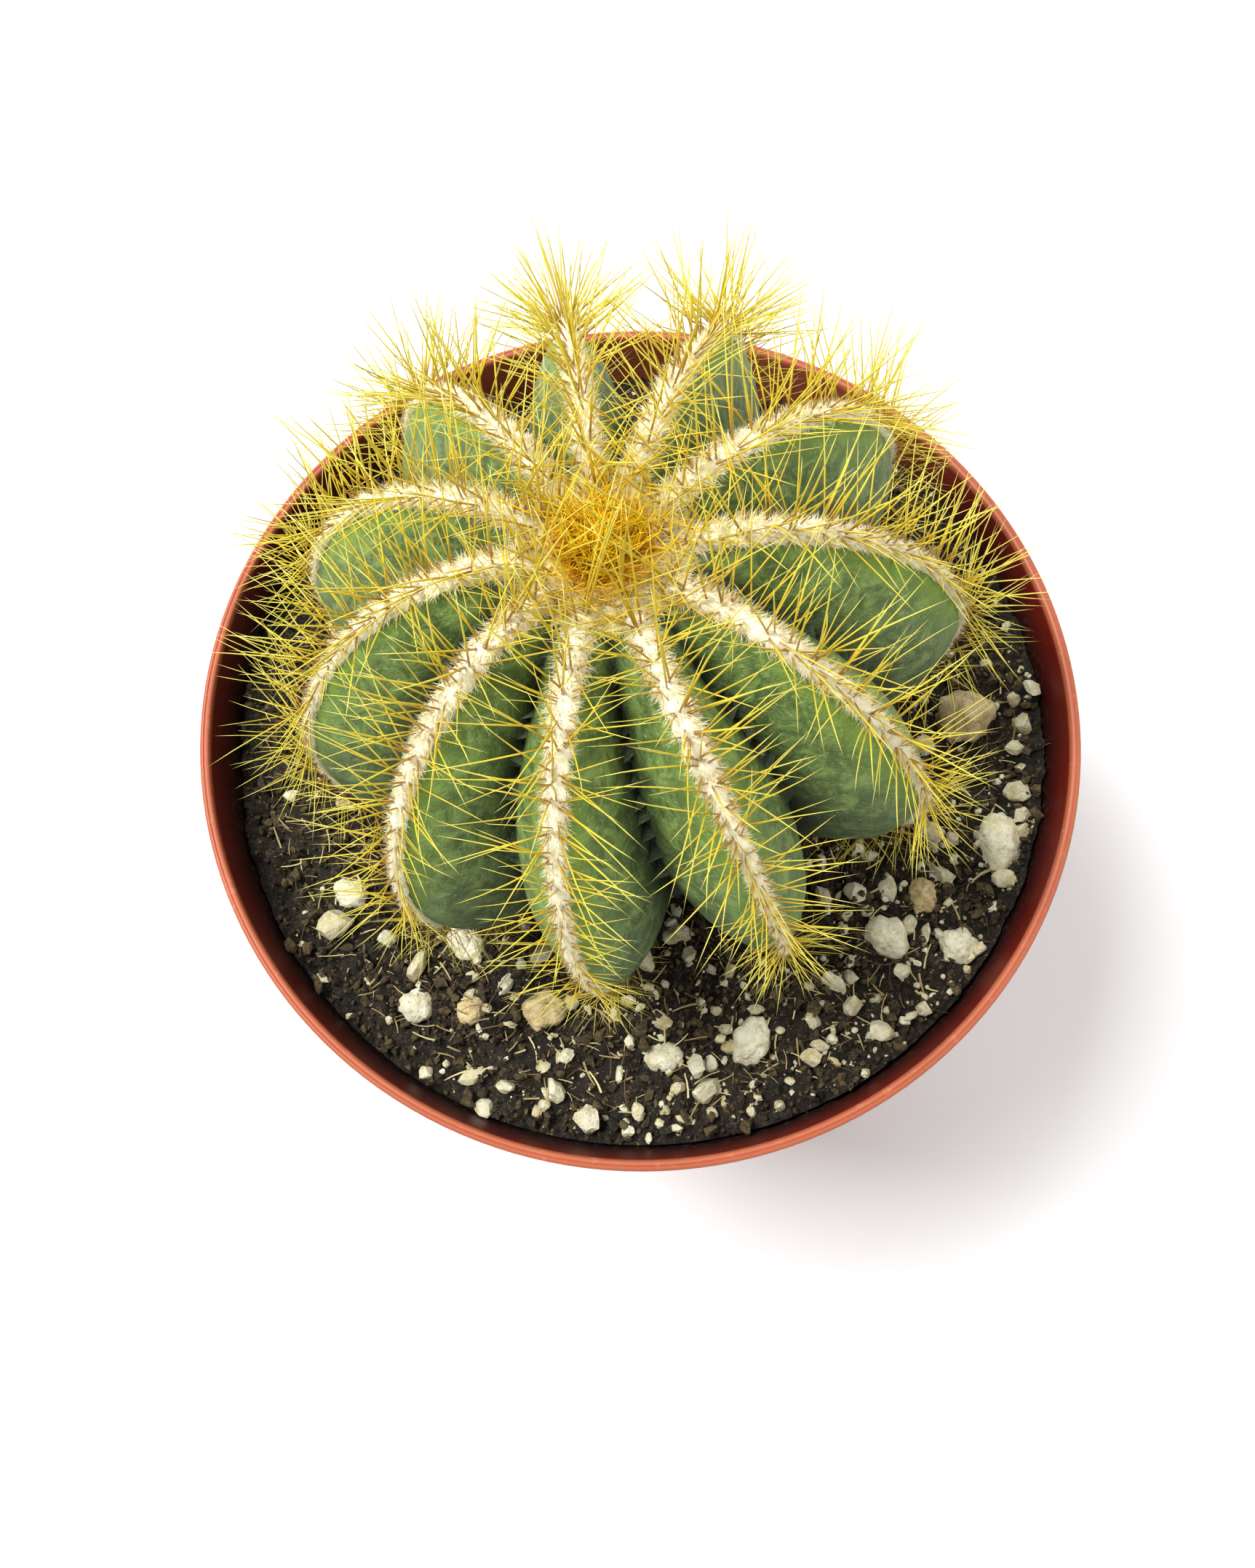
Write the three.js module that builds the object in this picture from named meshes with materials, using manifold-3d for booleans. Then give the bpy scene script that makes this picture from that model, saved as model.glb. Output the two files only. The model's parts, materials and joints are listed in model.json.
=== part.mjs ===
// A young balloon cactus in a round plastic nursery pot: pot, potting soil with perlite grains,
// the ribbed plant, and on each rib a strip of woolly felt with a row of bristle spines.
// Millimetres, +Z up, origin at the centre of the pot's foot.
import * as THREE from "three";
import { mergeVertices } from "three/addons/utils/BufferGeometryUtils.js";
import Module from "manifold-3d";

const wasm = await Module();
wasm.setup();

// ---- Driving dimensions -------------------------------------------------------------------------

const GAP = 0.3; // clearance left between two pieces that touch

const POT = {
  height: 90,
  rimRadius: 52.5,
  footRadius: 38.5,
  wall: 1.2,
  collarHeight: 11,
  collarStep: 1.3, // how far the collar stands out from the tapered wall
  baseRecess: 2.5, // how far the base plate sits above the foot ring
  footRing: 3.4,
  segments: 60,
};
const DRAIN = { radius: 3.5, circle: 27, count: 8 };

const SOIL = { level: 82, mound: 0.8, roughness: 0.7, segments: 48 };
const DISH = { topRadius: 36, floorRadius: 22.5, depth: 10.5, below: 1.2 };

// The plant stands a little off the pot's centre and leans back and to the left.
const PLANT = {
  centre: new THREE.Vector3(-3, 2.6, 105), // middle of the widest level
  lean: new THREE.Euler(THREE.MathUtils.degToRad(-4.6), THREE.MathUtils.degToRad(-2.3), 0),
  radius: 36.6, // axis to rib crest
  rise: 21.5, // from the widest level to the crown
  drop: 27.5, // from the widest level to the root end
  plumpness: 1.6, // 1 gives flat flanks, more makes them bulge
  crownDip: 2.2,
};

// The ribs go round counter-clockwise from +X. They aren't quite even: they crowd together at the
// back left, stand out further at the back, where the valleys are also deeper, and those at the
// front left swirl as they go down.
// Each unevenness is one or two waves round the plant: its size, and where it peaks in degrees.
const RIB_COUNT = 11;
const UNEVEN = {
  azimuth: [0.6, { size: 3.5, peak: 12 }, { size: 1.7, peak: 72 }], // degrees
  reach: [1, { size: 0.057, peak: 29 }, { size: 0.038, peak: 162 }], // share of the radius
  valley: [0.33, { size: 0.07, peak: 90 }, { size: 0.03, peak: 180 }], // share of the radius
  swirl: [3.2, { size: 5.6, peak: -148 }], // degrees per radian of the way down
};
const SWIRL_FROM = 0.8; // where along a rib its azimuth is stated, in radians from the crown

// The plant's surface has this many rows from the crown to the root end. Wool and spines start and
// end at given rows.
const ROWS = 18;
const WOOL = { fromRow: 2, toRow: 11, topWidth: 2.8, lowWidth: 1.8, height: 1.2 };
const SPINE = {
  fromRow: 2.3,
  toRow: 10.8,
  areoles: 11,
  areoleShare: 0.45, // how much of each step along the rib its areole takes
  length: 10,
  stripWidth: 1.4,
  stripHeight: 0.6,
};
const CROWN = { radius: 6.3, height: 2.6, spines: 14, spineLength: 11, spineRadius: 0.5 };

// The larger perlite grains on the soil: place in plan, size across and along, turn in degrees.
const GRAINS = [
  { at: [40.5, 1.5], size: [7.5, 6.5], turn: 30, colour: 0xc9b08c },
  { at: [43.5, -14.5], size: [5.3, 8.0], turn: 5, colour: 0xe6e3d2 },
  { at: [29.5, -26], size: [5.6, 4.8], turn: -40, colour: 0xe9e6d8 },
  { at: [38, -27], size: [4.5, 4.5], turn: 10, colour: 0xdedac8 },
  { at: [12.8, -38], size: [4.2, 6.4], turn: -25, colour: 0xe8e5d6 },
  { at: [34, -21], size: [3.4, 4.3], turn: 0, colour: 0xc7ae88 },
  { at: [-11.5, -34.5], size: [5.1, 4.6], turn: 20, colour: 0xd2b779 },
  { at: [-21, -26.5], size: [5.2, 3.4], turn: -35, colour: 0xe6e4d6 },
  { at: [-26.5, -34], size: [4.2, 3.8], turn: -30, colour: 0xdfdcb8 },
  { at: [-20, -34.5], size: [3.6, 3.2], turn: 15, colour: 0xd8c6a4 },
  { at: [2.5, -40], size: [4.4, 3.2], turn: 5, colour: 0xe2e0d4 },
  { at: [-35, -20.5], size: [4.2, 3.6], turn: -20, colour: 0xe4e2d4 },
];
const GRAIN_HEIGHT = 0.75; // height as a share of the mean width
const GRAIN_SUNK = 0.3; // share of the height that lies in the soil

// ---- Materials ----------------------------------------------------------------------------------

const material = (color, roughness) =>
  new THREE.MeshStandardMaterial({ color, roughness, metalness: 0 });
const terracottaPlastic = material(0xd9714f, 0.42);
const darkSoil = material(0x2b221a, 0.95);
const greenSkin = material(0x5f8a62, 0.55);
const creamWool = material(0xf6ecc4, 0.95);
const goldenSpine = material(0xe2bf35, 0.5);
const woodyCrown = material(0xe9cf7a, 0.9);

// ---- Helpers ------------------------------------------------------------------------------------

const part = new THREE.Group();

function addPiece(name, geometry, pieceMaterial) {
  const mesh = new THREE.Mesh(geometry, pieceMaterial);
  mesh.name = name;
  part.add(mesh);
}

// A closed three.js geometry as a manifold-3d solid.
function toSolid(geometry) {
  const bare = geometry.clone();
  bare.deleteAttribute("normal");
  bare.deleteAttribute("uv");
  const merged = mergeVertices(bare, 1e-4);
  return new wasm.Manifold(
    new wasm.Mesh({
      numProp: 3,
      vertProperties: new Float32Array(merged.attributes.position.array),
      triVerts: new Uint32Array(merged.index.array),
    }),
  );
}

// A manifold-3d solid as a three.js geometry.
function toGeometry(solid) {
  const mesh = solid.getMesh();
  const geometry = new THREE.BufferGeometry();
  geometry.setAttribute("position", new THREE.BufferAttribute(new Float32Array(mesh.vertProperties), 3));
  geometry.setIndex(new THREE.BufferAttribute(new Uint32Array(mesh.triVerts), 1));
  geometry.computeVertexNormals();
  return geometry;
}

// A profile of [radius, height] pairs turned about Z.
function turned(profile, segments) {
  const points = profile.map(([radius, height]) => new THREE.Vector2(radius, height));
  return new THREE.LatheGeometry(points, segments).rotateX(Math.PI / 2);
}

// Moves every vertex of a geometry to place(vertex).
function reshaped(geometry, place) {
  const positions = geometry.attributes.position;
  const vertex = new THREE.Vector3();
  for (let i = 0; i < positions.count; i++) {
    const moved = place(vertex.fromBufferAttribute(positions, i).clone());
    positions.setXYZ(i, moved.x, moved.y, moved.z);
  }
  return geometry;
}

// ---- Pot ----------------------------------------------------------------------------------------

const potTaper = (POT.rimRadius - POT.collarStep - POT.footRadius) / POT.height;
const potOuter = (z) => POT.footRadius + potTaper * z;
const collarFoot = POT.height - POT.collarHeight;
const collarOuter = (z) => potOuter(z) + POT.collarStep;
const lipRound = 0.35;
const baseTop = POT.baseRecess + POT.wall;

function potGeometry() {
  const shell = turned(
    [
      [0, POT.baseRecess],
      [POT.footRadius - POT.footRing, POT.baseRecess],
      [POT.footRadius - POT.footRing, 0],
      [POT.footRadius - lipRound, 0],
      [potOuter(lipRound), lipRound],
      [potOuter(collarFoot - POT.collarStep), collarFoot - POT.collarStep],
      [collarOuter(collarFoot), collarFoot],
      [collarOuter(POT.height - lipRound), POT.height - lipRound],
      [POT.rimRadius - lipRound, POT.height],
      [POT.rimRadius - POT.wall + lipRound, POT.height],
      [collarOuter(POT.height - lipRound) - POT.wall, POT.height - lipRound],
      [collarOuter(collarFoot) - POT.wall, collarFoot + lipRound],
      [potOuter(collarFoot - POT.collarStep) - POT.wall, collarFoot - POT.collarStep + lipRound],
      [potOuter(baseTop + POT.wall) - POT.wall, baseTop + POT.wall],
      [potOuter(baseTop) - 2 * POT.wall, baseTop],
      [0, baseTop],
    ],
    POT.segments,
  );
  let solid = toSolid(shell);
  const { radius, circle, count } = DRAIN;
  const hole = new THREE.CylinderGeometry(radius, radius, 4 * POT.wall, 12).rotateX(Math.PI / 2);
  const drill = (x, y) => {
    solid = solid.subtract(toSolid(hole.clone().translate(x, y, POT.baseRecess + POT.wall / 2)));
  };
  drill(0, 0);
  for (let i = 0; i < count; i++) {
    const angle = (i / count) * 2 * Math.PI;
    drill(circle * Math.cos(angle), circle * Math.sin(angle));
  }
  return toGeometry(solid);
}

// ---- Perlite grains -----------------------------------------------------------------------------

// An uneven pebble; grow makes it a little larger all round.
function grainGeometry({ at, size, turn }, grow = 0) {
  const height = (GRAIN_HEIGHT * (size[0] + size[1])) / 2;
  const lump = (v) => Math.sin(5 * v.x + 3 * v.y + at[0]) * Math.cos(4 * v.z + at[1]);
  const lumpy = (v) => v.multiplyScalar(1 + 0.08 * lump(v));
  return reshaped(new THREE.IcosahedronGeometry(1, 1), lumpy)
    .scale(size[0] / 2 + grow, size[1] / 2 + grow, height / 2 + grow)
    .rotateZ(THREE.MathUtils.degToRad(turn))
    .translate(at[0], at[1], SOIL.level + height * (0.5 - GRAIN_SUNK));
}

// ---- Soil ---------------------------------------------------------------------------------------

function soilGeometry() {
  const inside = (z) => potOuter(z) - POT.wall - GAP;
  const crumbly = (v) => {
    const radius = Math.hypot(v.x, v.y);
    const onTop = v.z > SOIL.level - 1 && radius > 1 && radius < inside(SOIL.level);
    if (onTop) v.z += SOIL.roughness * Math.sin(0.55 * v.x + 2) * Math.cos(0.5 * v.y + 1);
    return v;
  };
  const block = reshaped(
    turned(
      [
        [0, baseTop + GAP],
        [potOuter(baseTop) - 2 * POT.wall - GAP, baseTop + GAP],
        [inside(baseTop + POT.wall), baseTop + POT.wall + GAP],
        [inside(collarFoot - POT.collarStep), collarFoot - POT.collarStep + lipRound + GAP],
        [collarOuter(collarFoot) - POT.wall - GAP, collarFoot + lipRound + GAP],
        [collarOuter(SOIL.level) - POT.wall - GAP, SOIL.level],
        [44, SOIL.level - 0.3],
        [36, SOIL.level + 0.2],
        [27, SOIL.level + SOIL.mound],
        [0, SOIL.level + SOIL.mound],
      ],
      SOIL.segments,
    ),
    crumbly,
  );
  // The plant's root end sits in a shallow dish.
  const dishCentre = leaned(new THREE.Vector3(0, 0, SOIL.level - PLANT.centre.z));
  const dish = new THREE.CylinderGeometry(DISH.topRadius, DISH.floorRadius, DISH.depth, 24)
    .rotateX(Math.PI / 2)
    .translate(dishCentre.x, dishCentre.y, PLANT.centre.z - PLANT.drop - DISH.below + DISH.depth / 2);
  let solid = toSolid(block).subtract(toSolid(dish));
  for (const grain of GRAINS) solid = solid.subtract(toSolid(grainGeometry(grain, GAP)));
  return toGeometry(solid);
}

// ---- The plant's surface ------------------------------------------------------------------------

// The sum of a base value and its waves round the plant.
function uneven([base, ...waves], azimuth) {
  const wave = ({ size, peak }, i) => size * Math.cos(THREE.MathUtils.degToRad((i + 1) * azimuth - peak));
  return base + waves.map(wave).reduce((sum, value) => sum + value);
}

const RIBS = Array.from({ length: RIB_COUNT }, (_, i) => {
  const even = (360 * i) / RIB_COUNT;
  const azimuth = even + uneven(UNEVEN.azimuth, even);
  return { azimuth, reach: uneven(UNEVEN.reach, azimuth), swirl: uneven(UNEVEN.swirl, azimuth) };
});

const leaned = (v) => v.applyEuler(PLANT.lean).add(PLANT.centre);
const ribAzimuth = ({ azimuth, swirl }, down) =>
  THREE.MathUtils.degToRad(azimuth + swirl * (down - SWIRL_FROM));

// How far down the plant a row lies: 0 at the crown, a quarter turn at the widest level and a half
// turn at the root end.
const downAtRow = (row) => (Math.PI / 2) * (1 - Math.cos((Math.PI * row) / ROWS));

function crestProfile(down) {
  const s = Math.abs(Math.sin(down));
  const c = Math.cos(down);
  if (c >= 0) {
    const dip = PLANT.crownDip * Math.exp(-((down / 0.16) ** 2));
    return { radius: PLANT.radius * s ** 0.68, height: PLANT.rise * c ** 1.28 - dip };
  }
  return { radius: PLANT.radius * s ** 0.8, height: -PLANT.drop * (-c) ** 0.9 };
}

// A point on the crest line of a rib, in the pot's frame.
function crestPoint(rib, down) {
  const { radius, height } = crestProfile(down);
  const azimuth = ribAzimuth(rib, down);
  const reach = radius * rib.reach;
  return leaned(new THREE.Vector3(reach * Math.cos(azimuth), reach * Math.sin(azimuth), height));
}

// Directions at a crest point: along the rib away from the crown, across it, and straight out of it.
function crestFrame(rib, down) {
  const step = 0.02;
  const along = crestPoint(rib, down + step).sub(crestPoint(rib, down - step)).normalize();
  const azimuth = ribAzimuth(rib, down);
  const around = new THREE.Vector3(-Math.sin(azimuth), Math.cos(azimuth), 0).applyEuler(PLANT.lean);
  const out = new THREE.Vector3().crossVectors(along, around).normalize();
  const across = new THREE.Vector3().crossVectors(along, out);
  return { at: crestPoint(rib, down), along, across, out };
}

function cactusGeometry() {
  const columns = 6; // from one crest to the next
  const around = RIB_COUNT * columns;
  const sphere = new THREE.SphereGeometry(1, around, ROWS).rotateX(Math.PI / 2);
  const uv = sphere.attributes.uv;
  const positions = sphere.attributes.position;
  for (let i = 0; i < positions.count; i++) {
    const turn = Math.atan2(positions.getY(i), positions.getX(i)) / (2 * Math.PI);
    const column = (Math.round(turn * around) + around) % around;
    const first = Math.floor(column / columns);
    const second = (first + 1) % RIB_COUNT;
    const share = (column % columns) / columns;
    const down = downAtRow((1 - uv.getY(i)) * ROWS);
    const from = ribAzimuth(RIBS[first], down);
    const to = ribAzimuth(RIBS[second], down) + (second === 0 ? 2 * Math.PI : 0);
    const azimuth = from + (to - from) * share;
    const reach = THREE.MathUtils.lerp(RIBS[first].reach, RIBS[second].reach, share);
    const aside = Math.min(share, 1 - share) * 2; // 0 on a crest, 1 in a valley
    const valley = uneven(UNEVEN.valley, THREE.MathUtils.radToDeg(azimuth));
    const depth = valley * THREE.MathUtils.smoothstep(down, 0, 0.45) * aside ** PLANT.plumpness;
    const { radius, height } = crestProfile(down);
    const upright = new THREE.Vector3(
      radius * reach * Math.cos(azimuth),
      radius * reach * Math.sin(azimuth),
      height,
    );
    const placed = leaned(upright.multiplyScalar(1 - depth));
    positions.setXYZ(i, placed.x, placed.y, placed.z);
  }
  return sphere;
}

// ---- Wool and spines on each rib ----------------------------------------------------------------

// A straight bar laid along the crest: its x goes across the rib, its y along it and its z up off
// the skin.
function woolGeometry(rib) {
  const bar = new THREE.BoxGeometry(1, 1, 1, 2, WOOL.toRow - WOOL.fromRow, 1);
  return reshaped(bar, (v) => {
    const share = v.y + 0.5;
    const row = THREE.MathUtils.lerp(WOOL.fromRow, WOOL.toRow, share);
    const { at, across, out } = crestFrame(rib, downAtRow(row));
    const width = THREE.MathUtils.lerp(WOOL.topWidth, WOOL.lowWidth, Math.sqrt(share));
    const arch = v.z > 0 ? WOOL.height * (Math.abs(v.x) > 0.4 ? 0.55 : 1) : 0;
    return at.addScaledVector(across, v.x * width).addScaledVector(out, GAP + arch);
  });
}

// A thin cone from a point along a direction.
function needle(at, direction, length) {
  const cone = new THREE.ConeGeometry(CROWN.spineRadius, length, 4).translate(0, length / 2, 0);
  const upright = new THREE.Vector3(0, 1, 0);
  const turn = new THREE.Quaternion().setFromUnitVectors(upright, direction.clone().normalize());
  return cone.applyQuaternion(turn).translate(at.x, at.y, at.z);
}

// A row of bristles: a low strip along the crest whose left, top and right facets are drawn out
// into points at every areole, so the row is one closed piece.
function spineRowGeometry(rib) {
  const lift = GAP + WOOL.height + GAP;
  const section = [
    [-0.5 * SPINE.stripWidth, 0],
    [-0.2 * SPINE.stripWidth, SPINE.stripHeight],
    [0.2 * SPINE.stripWidth, SPINE.stripHeight],
    [0.5 * SPINE.stripWidth, 0],
  ];
  const spacing = (SPINE.toRow - SPINE.fromRow) / (SPINE.areoles - 1 + SPINE.areoleShare);
  const rowAt = (j) => SPINE.fromRow + spacing * (Math.floor(j / 2) + (j % 2 ? SPINE.areoleShare : 0));
  const stationAt = (j) => downAtRow(rowAt(j));
  const last = 2 * SPINE.areoles - 1;
  const points = [];
  const faces = [];
  const quad = (a, b, c, d) => faces.push(a, b, c, a, c, d);
  for (let j = 0; j <= last; j++) {
    const { at, across, out } = crestFrame(rib, stationAt(j));
    for (const [x, z] of section) {
      points.push(at.clone().addScaledVector(across, x).addScaledVector(out, lift + z));
    }
  }
  for (let j = 0; j < last; j++) {
    const near = 4 * j;
    const far = near + 4;
    quad(near, far, far + 3, near + 3);
    for (let facet = 0; facet < 3; facet++) {
      const ring = [near + facet, near + facet + 1, far + facet + 1, far + facet];
      if (j % 2) {
        quad(...ring);
        continue;
      }
      ring.forEach((corner, k) => faces.push(corner, ring[(k + 1) % 4], points.length));
      points.push(spineTip(rib, stationAt(j), j / 2, facet - 1, lift));
    }
  }
  quad(3, 2, 1, 0);
  quad(4 * last, 4 * last + 1, 4 * last + 2, 4 * last + 3);
  const geometry = new THREE.BufferGeometry().setFromPoints(points);
  geometry.setIndex(faces);
  geometry.computeVertexNormals();
  return geometry;
}

// Where a bristle ends: side is -1 for the left one, 0 for the one that stands straight out of the
// crest and 1 for the right one.
function spineTip(rib, down, areole, side, lift) {
  const { at, along, across, out } = crestFrame(rib, down);
  const valleyWidth = (2 * Math.PI * crestProfile(down).radius) / RIB_COUNT;
  const upOrDown = areole % 2 ? 0.45 : -0.25; // neighbouring bristles point up and down the rib in turn
  const direction = out
    .clone()
    .multiplyScalar(side ? 0.7 : 1)
    .addScaledVector(across, side)
    .addScaledVector(along, upOrDown)
    .normalize();
  const length = side ? Math.min(SPINE.length, 0.42 * valleyWidth) : SPINE.length;
  return at.addScaledVector(out, lift).addScaledVector(direction, length);
}

// ---- Crown --------------------------------------------------------------------------------------

const crownBase = crestProfile(downAtRow(WOOL.fromRow)).height + GAP;

function crownWoolGeometry() {
  const { radius, height } = CROWN;
  const cushion = turned(
    [
      [0, crownBase],
      [radius, crownBase],
      [0.9 * radius, crownBase + 0.5 * height],
      [0.5 * radius, crownBase + 0.9 * height],
      [0, crownBase + height],
    ],
    16,
  );
  return reshaped(cushion, leaned);
}

function crownSpineGeometry() {
  const padHeight = 0.8;
  const bottom = crownBase + CROWN.height + GAP;
  const padRadius = 0.4 * CROWN.radius;
  const pad = new THREE.CylinderGeometry(padRadius, padRadius, padHeight, 12)
    .rotateX(Math.PI / 2)
    .translate(0, 0, bottom + padHeight / 2);
  let solid = toSolid(pad);
  for (let i = 0; i < CROWN.spines; i++) {
    const angle = i * 2.4; // the golden angle spreads them evenly
    const share = Math.sqrt((i + 0.5) / CROWN.spines);
    const outward = new THREE.Vector3(Math.cos(angle), Math.sin(angle), 0);
    const foot = outward
      .clone()
      .multiplyScalar(0.75 * padRadius * share)
      .setZ(bottom + padHeight / 2);
    const direction = outward.multiplyScalar(0.75 * share).setZ(1);
    solid = solid.add(toSolid(needle(foot, direction, CROWN.spineLength * (1 - 0.3 * share))));
  }
  return reshaped(toGeometry(solid), leaned);
}

// ---- Assembly -----------------------------------------------------------------------------------

const numbered = (name, index) => `${name}_${String(index + 1).padStart(2, "0")}`;

addPiece("pot", potGeometry(), terracottaPlastic);
addPiece("soil", soilGeometry(), darkSoil);
addPiece("cactus_body", cactusGeometry(), greenSkin);
addPiece("crown_wool", crownWoolGeometry(), woodyCrown);
addPiece("crown_spines", crownSpineGeometry(), goldenSpine);
RIBS.forEach((rib, index) => {
  addPiece(numbered("wool_rib", index), woolGeometry(rib), creamWool);
  addPiece(numbered("spines_rib", index), spineRowGeometry(rib), goldenSpine);
});
GRAINS.forEach((grain, index) => {
  addPiece(numbered("perlite", index), grainGeometry(grain), material(grain.colour, 0.9));
});

export default part;
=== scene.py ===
# %% [markdown]
# # A balloon cactus in a nursery pot
# The plant is a ball of eleven sharp ribs. A strip of cream felt runs along the crest of every rib, and
# bunches of golden bristles stand in the felt. It grows in dark peat with white perlite, in a thin
# terracotta-coloured pot. The CAD model is loaded first. It fixes every size and place, so the rest is
# worked out from it, in metres.

# %% Load the frame
import json
import math

import bpy
import numpy as np
from mathutils import Matrix, Vector, noise


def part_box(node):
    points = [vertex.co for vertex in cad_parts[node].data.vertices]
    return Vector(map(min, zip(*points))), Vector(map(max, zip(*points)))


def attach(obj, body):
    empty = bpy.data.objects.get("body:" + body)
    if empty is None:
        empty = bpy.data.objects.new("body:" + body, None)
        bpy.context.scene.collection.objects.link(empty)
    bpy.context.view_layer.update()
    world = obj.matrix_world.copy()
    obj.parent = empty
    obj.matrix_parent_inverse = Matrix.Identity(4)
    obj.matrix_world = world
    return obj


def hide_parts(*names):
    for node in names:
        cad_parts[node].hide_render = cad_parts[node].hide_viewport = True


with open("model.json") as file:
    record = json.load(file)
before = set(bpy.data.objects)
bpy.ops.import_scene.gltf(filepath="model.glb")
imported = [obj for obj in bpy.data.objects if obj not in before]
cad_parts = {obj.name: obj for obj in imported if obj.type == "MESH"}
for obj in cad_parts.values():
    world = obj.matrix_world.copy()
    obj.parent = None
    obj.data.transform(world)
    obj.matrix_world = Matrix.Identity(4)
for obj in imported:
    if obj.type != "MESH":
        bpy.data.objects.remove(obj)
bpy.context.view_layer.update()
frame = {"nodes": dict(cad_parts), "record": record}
MM = 0.001
RIM_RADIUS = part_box("pot")[1].x
RIM_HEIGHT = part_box("pot")[1].z
SOIL_LEVEL = 82 * MM
rng = np.random.default_rng(11)
print("nodes", len(frame["nodes"]), "rim radius", round(RIM_RADIUS, 4), "rim height", round(RIM_HEIGHT, 4))

# %% [markdown]
# ## Camera
# The plant is seen from steeply above, as someone who stands over a windowsill sees it. A camera that
# looks down at about 75 degrees, some 14 cm over the rim with a phone's wide lens, makes the near rim look
# larger than the far one. A long lens further off would flatten that, so the distance matters as much as
# the angle.

# %% Camera
CAMERA_ABOVE_RIM = 142.7 * MM
CAMERA_FORWARD = 47.6 * MM
CAMERA_LEFT = 1.7 * MM
CAMERA_TILT = math.radians(15.18)
CAMERA_PAN = math.radians(-0.2)
LENS_MM = 28.9

bpy.ops.object.camera_add(
    location=(-CAMERA_LEFT, -CAMERA_FORWARD, RIM_HEIGHT + CAMERA_ABOVE_RIM),
    rotation=(CAMERA_TILT, 0, CAMERA_PAN),
)
camera = bpy.context.object
camera.data.lens = LENS_MM
camera.data.clip_start = 10 * MM
bpy.context.scene.camera = camera
print("camera at", [round(c, 4) for c in camera.location])

# %% [markdown]
# ## Studio
# A pale seamless floor and three soft lights: the strongest high at the left, a wide weak one at the right
# and another behind, with an even glow from all sides. Large lights keep the shadows of thousands of
# bristles from turning into a black net, and the bright surround lets their pale tips melt into the
# background.

# %% Floor, lights and world
def area_light(name, place, size, power):
    bpy.ops.object.light_add(type="AREA", location=place)
    light = bpy.context.object
    light.name = name
    light.data.size = size
    light.data.energy = power
    aim = Vector((0, 0, RIM_HEIGHT)) - Vector(place)
    light.rotation_euler = aim.to_track_quat("-Z", "Y").to_euler()


area_light("key_light", (-0.35, 0.1, 0.75), 0.3, 8.0)
area_light("fill_light", (0.55, -0.1, 0.55), 0.6, 1.6)
area_light("back_light", (0.05, 0.6, 0.5), 0.5, 1.6)

world = bpy.data.worlds.new("studio")
bpy.context.scene.world = world
world.use_nodes = True
sky = world.node_tree.nodes["Background"].inputs
sky["Color"].default_value = (1.0, 1.0, 1.0, 1.0)
sky["Strength"].default_value = 0.42
bpy.context.scene.view_settings.view_transform = "Standard"

bpy.ops.mesh.primitive_plane_add(size=6)
floor = bpy.context.object
floor.name = "floor"

# %% [markdown]
# ## A small language for finishes
# Every finish is a node material. Written by hand, node links are hard to read, so a socket is wrapped in
# a class that knows plus, minus, times and power: an expression such as `1 - mask * 0.4` then adds its own
# Math nodes. Every other node comes from one method, `node`, which takes its settings and its sockets.

# %% Sockets in expressions
class Wire:
    """An output socket that can be used in sums."""

    def __init__(self, finish, socket):
        self.finish = finish
        self.socket = socket

    def maths(self, operation, first, second):
        return self.finish.node("ShaderNodeMath", {"operation": operation}, {0: first, 1: second})

    def __add__(self, other):
        return self.maths("ADD", self, other)

    def __sub__(self, other):
        return self.maths("SUBTRACT", self, other)

    def __rsub__(self, other):
        return self.maths("SUBTRACT", other, self)

    def __mul__(self, other):
        return self.maths("MULTIPLY", self, other)

    def __pow__(self, other):
        return self.maths("POWER", self, other)

    __radd__ = __add__
    __rmul__ = __mul__


class Finish:
    """A material in the making: its nodes and its surface shader, whose subsurface radii are in metres."""

    def __init__(self, name):
        self.material = bpy.data.materials.new(name)
        self.material.use_nodes = True
        self.tree = self.material.node_tree
        self.shader = self.tree.nodes["Principled BSDF"]
        self.shader.inputs["Subsurface Scale"].default_value = 1.0

    def connect(self, socket, value):
        if isinstance(value, Wire):
            self.tree.links.new(value.socket, socket)
        elif isinstance(value, tuple) and len(value) == 3 and socket.type == "RGBA":
            socket.default_value = (*value, 1.0)
        else:
            socket.default_value = value

    def node(self, kind, settings=None, sockets=None, out=0):
        made = self.tree.nodes.new(kind)
        for name, value in (settings or {}).items():
            if name == "stops":
                while len(made.color_ramp.elements) < len(value):
                    made.color_ramp.elements.new(1.0)
                for stop, (position, colour) in zip(made.color_ramp.elements, value):
                    stop.position = position
                    stop.color = (*colour, 1.0)
            else:
                setattr(made, name, value)
        for name, value in (sockets or {}).items():
            self.connect(find_socket(made.inputs, name), value)
        return Wire(self, find_socket(made.outputs, out))

    def surface(self, **sockets):
        for name, value in sockets.items():
            self.connect(self.shader.inputs[name.replace("_", " ").title()], value)
        return self.material


def find_socket(sockets, name):
    """A socket by its number, identifier or name."""
    if isinstance(name, int):
        return sockets[name]
    return next((s for s in sockets if s.identifier == name), None) or sockets[name]


print("Wire adds Math nodes for + - * and **")

# %% [markdown]
# ## Patterns that the finishes share
# Noise on Object coordinates stays fixed to a piece, whatever its faces are like. Bristles and hairs carry
# two numbers on their mesh instead: `along`, from 0 at the foot to 1 at the tip, and `tone`, one random
# value each.

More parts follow.
